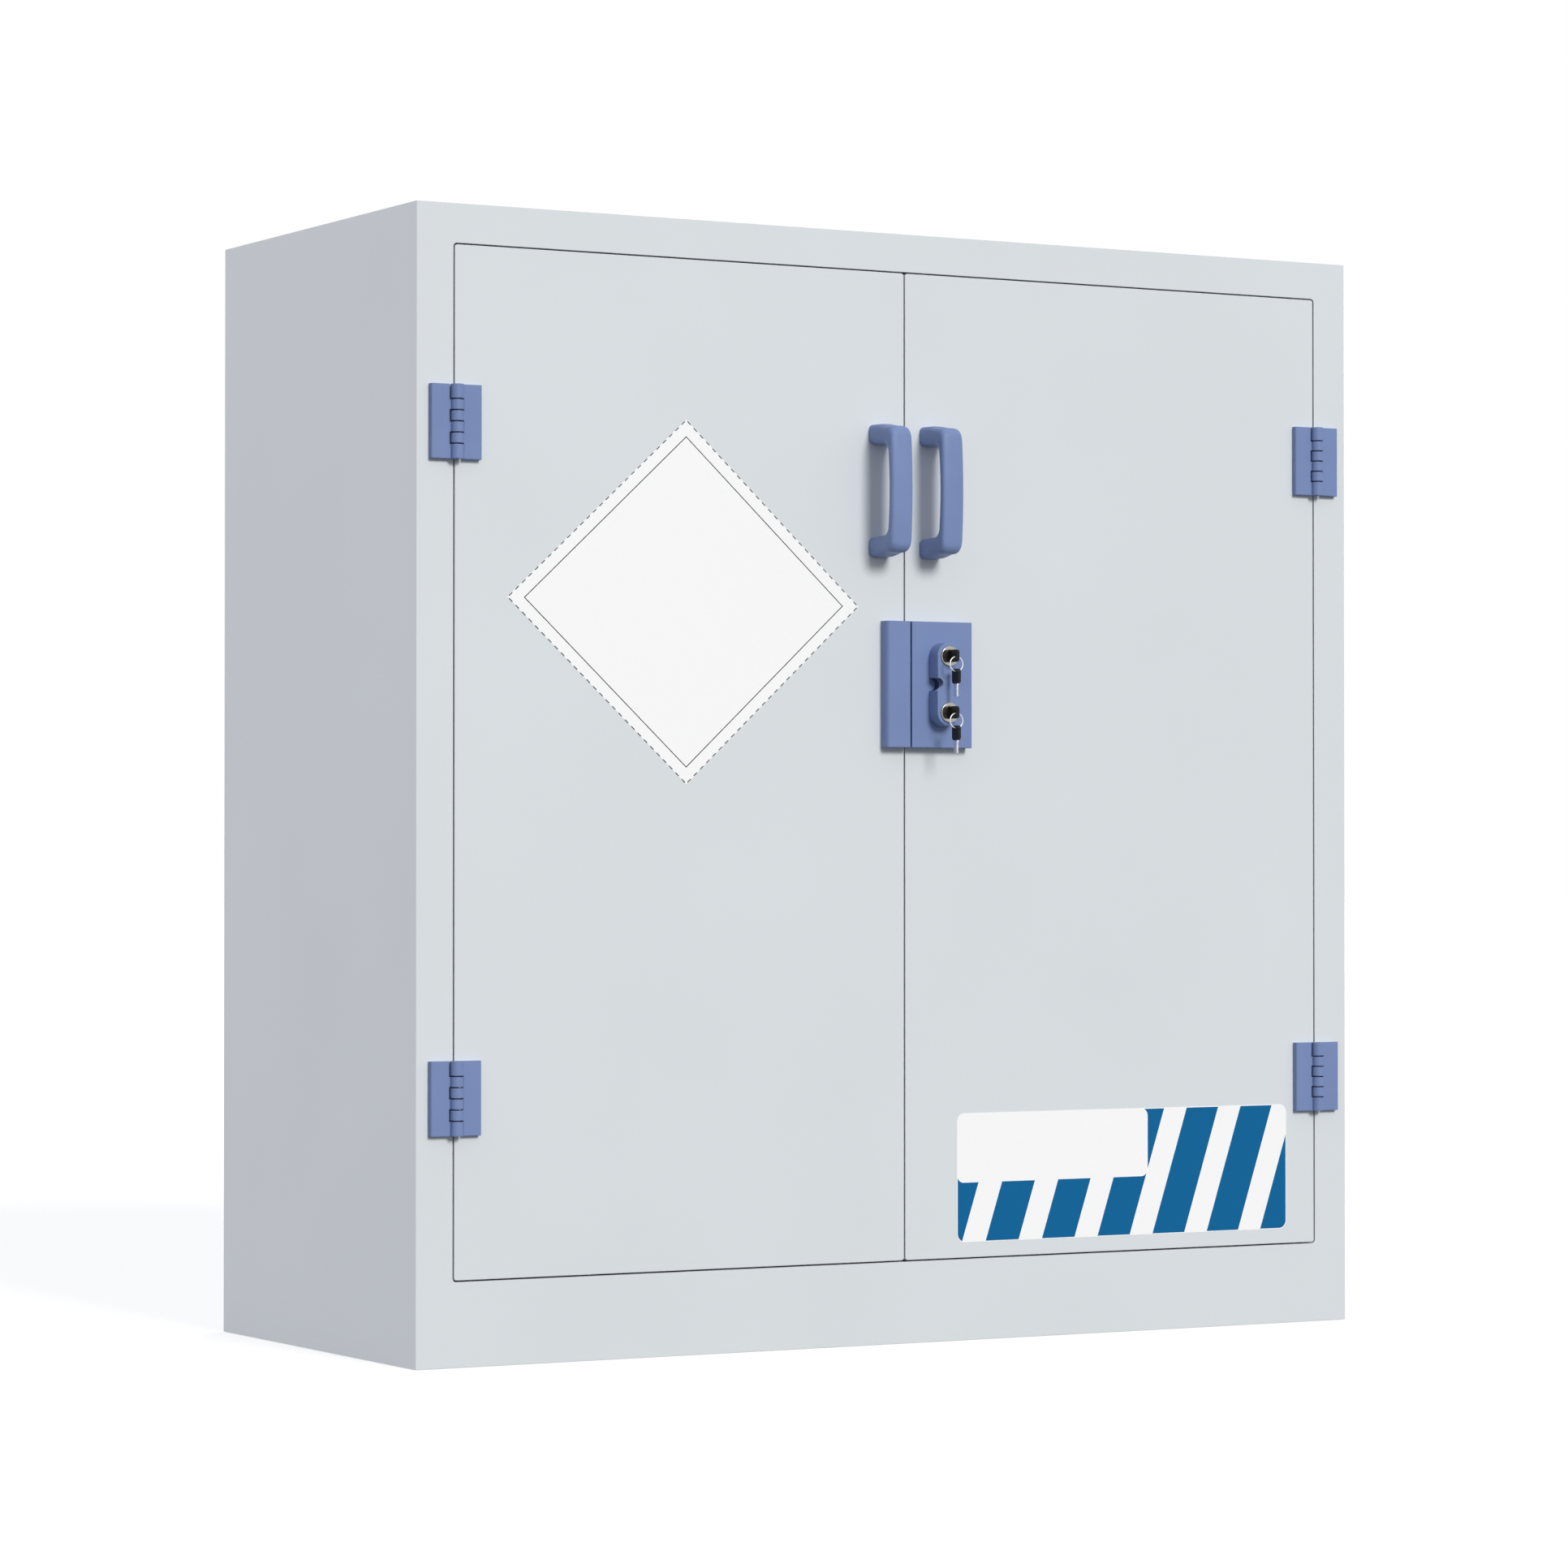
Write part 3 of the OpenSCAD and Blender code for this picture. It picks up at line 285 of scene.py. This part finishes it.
def mark_edges(obj):
    """Marks the sharp edges to round, and keeps the rims of holes sharp where they stand alone."""
    joined = bmesh.new()
    joined.from_mesh(obj.data)
    bmesh.ops.remove_doubles(joined, verts=joined.verts, dist=WELD_DISTANCE)
    sharp = [edge for edge in joined.edges
             if len(edge.link_faces) == 2 and edge.calc_face_angle(0) > SHARP_ANGLE]
    rims = {ends(edge) for edge in sharp if any(on_inner_curve(v) for v in edge.verts)}
    outer = {ends(edge) for edge in sharp} - rims
    joined.free()
    rims_stand_alone = not set().union(*rims) & set().union(*outer)
    mesh = obj.data
    marks = mesh.attributes.new("bevel_weight_edge", "FLOAT", "EDGE")
    for edge in mesh.edges:
        place = frozenset(micrometres(mesh.vertices[i].co) for i in edge.vertices)
        edge.use_edge_sharp = rims_stand_alone and place in rims
        if place in outer:
            marks.data[edge.index].value = 1.0


def round_edges(obj, width):
    """Rounds the sharp edges of a node and keeps its flats flat."""
    shade_smooth(obj)
    mark_edges(obj)
    weld(obj)
    flats = obj.modifiers.new("flats", "DECIMATE")
    flats.decimate_type = "DISSOLVE"
    flats.angle_limit = FLAT_ANGLE
    bevel = obj.modifiers.new("rounding", "BEVEL")
    bevel.width = width
    bevel.segments = ROUNDING_SEGMENTS
    bevel.limit_method = "WEIGHT"
    bevel.use_clamp_overlap = True
    normals = obj.modifiers.new("normals", "WEIGHTED_NORMAL")
    normals.keep_sharp = True
    normals.weight = FLATS_LEAD


def smooth_form(obj):
    """Smooth shading over a form as it was made, apart from its sharp edges."""
    shade_smooth(obj)
    weld(obj)
    split = obj.modifiers.new("sharp_edges", "EDGE_SPLIT")
    split.split_angle = SPLIT_ANGLE


def dress_nodes():
    """Gives every carried-over node its material and its rounded edges."""
    for part in frame["record"]["subparts"]:
        obj = nodes[part["node"]]
        finish = "pp_grey_welded" if part["node"] in WELDED_NODES else part["material_slot"]
        obj.data.materials.clear()
        obj.data.materials.append(MATERIALS[finish])
        if part["node"] in SMOOTH_NODES + WELDED_NODES + PIERCED_NODES:
            smooth_form(obj)
        else:
            round_edges(obj, EDGE_ROUNDING[finish])


# ---- thin printed labels ----

# The doors' face, which the films lie on.
FRONT_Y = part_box("left_door_panel")[0].y
# Thickness of a film, and of the ink on it.
FILM = 0.15 * MM
INK = 0.03 * MM
# Straight steps round a quarter turn.
CORNER_STEPS = 8


def rounded_outline(x0, x1, z0, z1, radius):
    """Corners of a rectangle with round corners, anticlockwise seen from the front."""
    centres = ((x1 - radius, z0 + radius, -90), (x1 - radius, z1 - radius, 0),
               (x0 + radius, z1 - radius, 90), (x0 + radius, z0 + radius, 180))
    points = []
    for cx, cz, start in centres:
        for i in range(CORNER_STEPS + 1):
            a = math.radians(start + 90 * i / CORNER_STEPS)
            points.append((cx + radius * math.cos(a), cz + radius * math.sin(a)))
    return points


def between(p, q, share):
    """The point at that share of the way from p to q."""
    return (p[0] + share * (q[0] - p[0]), p[1] + share * (q[1] - p[1]))


def left_of(a, b, p):
    """How far p lies to the left of the line from a to b, times that line's length."""
    return (b[0] - a[0]) * (p[1] - a[1]) - (b[1] - a[1]) * (p[0] - a[0])


def clip_to_convex(points, outline):
    """The part of a polygon inside a convex anticlockwise outline."""
    for i, b in enumerate(outline):
        a = outline[i - 1]
        kept = []
        for k, q in enumerate(points):
            p = points[k - 1]
            before, after = left_of(a, b, p), left_of(a, b, q)
            if (before >= 0) != (after >= 0):
                kept.append(between(p, q, before / (before - after)))
            if after >= 0:
                kept.append(q)
        points = kept
    return points


def film_piece(name, polygons, back, thickness, finish, body):
    """Flat film from polygons in X and Z, with its back that far in front of the doors."""
    shape = bmesh.new()
    face_y = FRONT_Y - back
    for polygon in polygons:
        verts = [shape.verts.new((x, face_y, z)) for x, z in polygon]
        face = shape.faces.new(verts)
        grown = bmesh.ops.extrude_face_region(shape, geom=[face])
        moved = [v for v in grown["geom"] if isinstance(v, bmesh.types.BMVert)]
        bmesh.ops.translate(shape, verts=moved, vec=(0, -thickness, 0))
    bmesh.ops.recalc_face_normals(shape, faces=shape.faces)
    mesh = bpy.data.meshes.new(name)
    shape.to_mesh(mesh)
    shape.free()
    obj = bpy.data.objects.new(name, mesh)
    bpy.context.scene.collection.objects.link(obj)
    mesh.materials.append(MATERIALS[finish])
    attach(obj, body)


# Striped label on the right door, measured from the middle of the cabinet and the floor.
STRIPE_X0, STRIPE_X1 = 62 * MM, 469 * MM
STRIPE_Z0, STRIPE_Z1 = 99 * MM, 230 * MM
STRIPE_CORNER = 9 * MM
STRIPE_PITCH = 67.9 * MM
STRIPE_WIDTH = 39.6 * MM
# How far a stripe runs to the right for each metre up.
STRIPE_LEAN = 0.332
# The first stripe starts left of the label, whose edge cuts it off.
FIRST_STRIPE_X = 28 * MM
PANEL_X1 = 294 * MM
PANEL_Z0 = 159.5 * MM
PANEL_CORNER = 8 * MM
LABEL_MARGIN = 0.8 * MM


def striped_label():
    """A white film with leaning blue stripes and a bare white panel in its upper left."""
    outline = rounded_outline(STRIPE_X0, STRIPE_X1, STRIPE_Z0, STRIPE_Z1, STRIPE_CORNER)
    film_piece("stripe_label_film", [outline], 0.0, FILM, "label_white", "right_door")
    printed = rounded_outline(STRIPE_X0 + LABEL_MARGIN, STRIPE_X1 - LABEL_MARGIN,
                              STRIPE_Z0 + LABEL_MARGIN, STRIPE_Z1 - LABEL_MARGIN,
                              STRIPE_CORNER - LABEL_MARGIN)
    height = STRIPE_Z1 - STRIPE_Z0
    stripes = []
    for i in range(math.ceil((STRIPE_X1 - FIRST_STRIPE_X) / STRIPE_PITCH)):
        x = FIRST_STRIPE_X + i * STRIPE_PITCH
        lean = STRIPE_LEAN * height
        stripe = [(x, STRIPE_Z0), (x + STRIPE_WIDTH, STRIPE_Z0),
                  (x + STRIPE_WIDTH + lean, STRIPE_Z1), (x + lean, STRIPE_Z1)]
        stripe = clip_to_convex(stripe, printed)
        if stripe:
            stripes.append(stripe)
    film_piece("stripe_label_ink", stripes, FILM, INK, "label_blue", "right_door")
    panel = rounded_outline(STRIPE_X0, PANEL_X1, PANEL_Z0, STRIPE_Z1, PANEL_CORNER)
    film_piece("stripe_label_panel", [panel], FILM, 2 * INK, "label_white", "right_door")


# Diamond label on the left door, its middle measured in the same way.
DIAMOND_X, DIAMOND_Z = -251 * MM, 742 * MM
DIAMOND_HALF_W, DIAMOND_HALF_H = 197 * MM, 180 * MM
KEYLINE_INSET = 18 * MM
KEYLINE_W = 0.9 * MM
DASH_L, DASH_GAP, DASH_W = 5 * MM, 4.5 * MM, 0.9 * MM
# Where a dash starts, as a share of its pitch.
DASH_OFFSET = 0.25


def diamond(inset):
    """Corners of the diamond that lies that far inside its edge along the axes."""
    w = DIAMOND_HALF_W - inset
    h = DIAMOND_HALF_H - inset * DIAMOND_HALF_H / DIAMOND_HALF_W
    return [(DIAMOND_X, DIAMOND_Z - h), (DIAMOND_X + w, DIAMOND_Z),
            (DIAMOND_X, DIAMOND_Z + h), (DIAMOND_X - w, DIAMOND_Z)]


def strip(p, q, width):
    """A narrow strip along the line from p to q, on its left side."""
    along = Vector((q[0] - p[0], q[1] - p[1])).normalized()
    across = Vector((-along.y, along.x)) * width
    return [p, q, (q[0] + across.x, q[1] + across.y), (p[0] + across.x, p[1] + across.y)]


def dashes():
    """Short strips along the diamond's edge."""
    corners = diamond(0)
    found = []
    for i, q in enumerate(corners):
        p = corners[i - 1]
        length = math.dist(p, q)
        count = round(length / (DASH_L + DASH_GAP))
        for k in range(count):
            start = (k + DASH_OFFSET) / count
            end = start + DASH_L / length
            found.append(strip(between(p, q, start), between(p, q, end), DASH_W))
    return found


def diamond_label():
    """A bare white diamond with a keyline and a dashed edge."""
    film_piece("diamond_label_film", [diamond(0)], 0.0, FILM, "label_white", "left_door")
    inner = diamond(KEYLINE_INSET)
    lines = [strip(inner[i - 1], q, KEYLINE_W) for i, q in enumerate(inner)]
    film_piece("diamond_label_lines", lines, FILM, INK, "label_black", "left_door")
    film_piece("diamond_label_dashes", dashes(), FILM, INK, "label_black", "left_door")


# ---- floor, light and camera ----

FLOOR_SIZE = 80.0
FLOOR_Z = -0.5 * MM
FLOOR_ROUGHNESS = 0.9
# The floor's tone for the light on the object, its tone as seen, and its own glow as seen.
FLOOR_BOUNCE = 0.15
FLOOR_SEEN = 0.5
FLOOR_GLOW = 0.6
WORLD_COLOUR = (0.92, 0.93, 1.0, 1)
WORLD_STRENGTH = 0.57
KEY_COLOUR = (1.0, 0.995, 0.965)
SIDE_COLOUR = (0.96, 0.965, 1.0)
# Name, direction in which the lamp stands, strength, width in degrees and colour.
LAMPS = (
    ("key", (0.08, -0.90, 0.42), 2.2, 18, KEY_COLOUR),
    ("left_side", (-0.77, 0.60, 0.22), 1.25, 24, SIDE_COLOUR),
    ("right_side", (0.74, 0.58, 0.34), 0.9, 24, SIDE_COLOUR),
)
# The camera's place in metres, its angles in degrees, and its lens and sensor in millimetres.
CAMERA_PLACE = Vector((-2.6570, -4.6567, 0.4904))
CAMERA_YAW = 29.623
CAMERA_PITCH = 0.818
CAMERA_LENS = 117.33
CAMERA_SENSOR = 36.0


def seen_directly(tree):
    """1 for a ray from the camera, a reflection or glass, and 0 for the light on the object."""
    path = tree.nodes.new("ShaderNodeLightPath")
    seen = path.outputs["Is Camera Ray"]
    for kind in ("Is Glossy Ray", "Is Transmission Ray"):
        either = tree.nodes.new("ShaderNodeMath")
        either.operation = "MAXIMUM"
        tree.links.new(seen, either.inputs[0])
        tree.links.new(path.outputs[kind], either.inputs[1])
        seen = either.outputs["Value"]
    return seen


def make_world():
    """Even white light, and a white background where the camera sees past the object."""
    world = bpy.data.worlds.new("studio")
    bpy.context.scene.world = world
    world.use_nodes = True
    tree = world.node_tree
    light = tree.nodes["Background"]
    light.inputs["Color"].default_value = WORLD_COLOUR
    light.inputs["Strength"].default_value = WORLD_STRENGTH
    white = tree.nodes.new("ShaderNodeBackground")
    white.inputs["Color"].default_value = (1, 1, 1, 1)
    mix = tree.nodes.new("ShaderNodeMixShader")
    tree.links.new(seen_directly(tree), mix.inputs["Fac"])
    tree.links.new(light.outputs["Background"], mix.inputs[1])
    tree.links.new(white.outputs["Background"], mix.inputs[2])
    tree.links.new(mix.outputs["Shader"], tree.nodes["World Output"].inputs["Surface"])


def make_floor():
    """A pale floor that meets the white background and keeps the object's shadow."""
    material = bpy.data.materials.new("studio_floor")
    material.use_nodes = True
    tree = material.node_tree
    shader = tree.nodes["Principled BSDF"]
    shader.inputs["Roughness"].default_value = FLOOR_ROUGHNESS
    shader.inputs["Specular IOR Level"].default_value = 0.0
    seen = seen_directly(tree)
    tone = tree.nodes.new("ShaderNodeMapRange")
    tone.inputs["To Min"].default_value = FLOOR_BOUNCE
    tone.inputs["To Max"].default_value = FLOOR_SEEN
    tree.links.new(seen, tone.inputs["Value"])
    tree.links.new(tone.outputs["Result"], shader.inputs["Base Color"])
    glow = tree.nodes.new("ShaderNodeEmission")
    glow.inputs["Color"].default_value = (FLOOR_GLOW,) * 3 + (1,)
    tree.links.new(seen, glow.inputs["Strength"])
    both = tree.nodes.new("ShaderNodeAddShader")
    tree.links.new(shader.outputs["BSDF"], both.inputs[0])
    tree.links.new(glow.outputs["Emission"], both.inputs[1])
    tree.links.new(both.outputs["Shader"], tree.nodes["Material Output"].inputs["Surface"])
    bpy.ops.mesh.primitive_plane_add(size=FLOOR_SIZE, location=(0, 0, FLOOR_Z))
    floor = bpy.context.object
    floor.name = "studio_floor"
    floor.data.materials.append(material)


def make_light(name, towards, strength, angle, colour):
    """A distant soft lamp that stands in that direction."""
    data = bpy.data.lights.new(name, "SUN")
    data.color = colour
    data.energy = strength
    data.angle = math.radians(angle)
    lamp = bpy.data.objects.new(name, data)
    lamp.rotation_euler = Vector(towards).to_track_quat("Z", "Y").to_euler()
    bpy.context.scene.collection.objects.link(lamp)


def make_camera():
    """The photograph's view, solved from the cabinet's corners."""
    yaw, pitch = math.radians(CAMERA_YAW), math.radians(CAMERA_PITCH)
    level = math.cos(pitch)
    look = Vector((math.sin(yaw) * level, math.cos(yaw) * level, math.sin(pitch)))
    data = bpy.data.cameras.new("camera")
    data.lens = CAMERA_LENS
    data.sensor_width = CAMERA_SENSOR
    camera = bpy.data.objects.new("camera", data)
    camera.location = CAMERA_PLACE
    camera.rotation_euler = look.to_track_quat("-Z", "Y").to_euler()
    bpy.context.scene.collection.objects.link(camera)
    bpy.context.scene.camera = camera


dress_nodes()
striped_label()
diamond_label()
make_world()
make_floor()
for lamp in LAMPS:
    make_light(*lamp)
make_camera()
bpy.context.scene.view_settings.view_transform = "Standard"
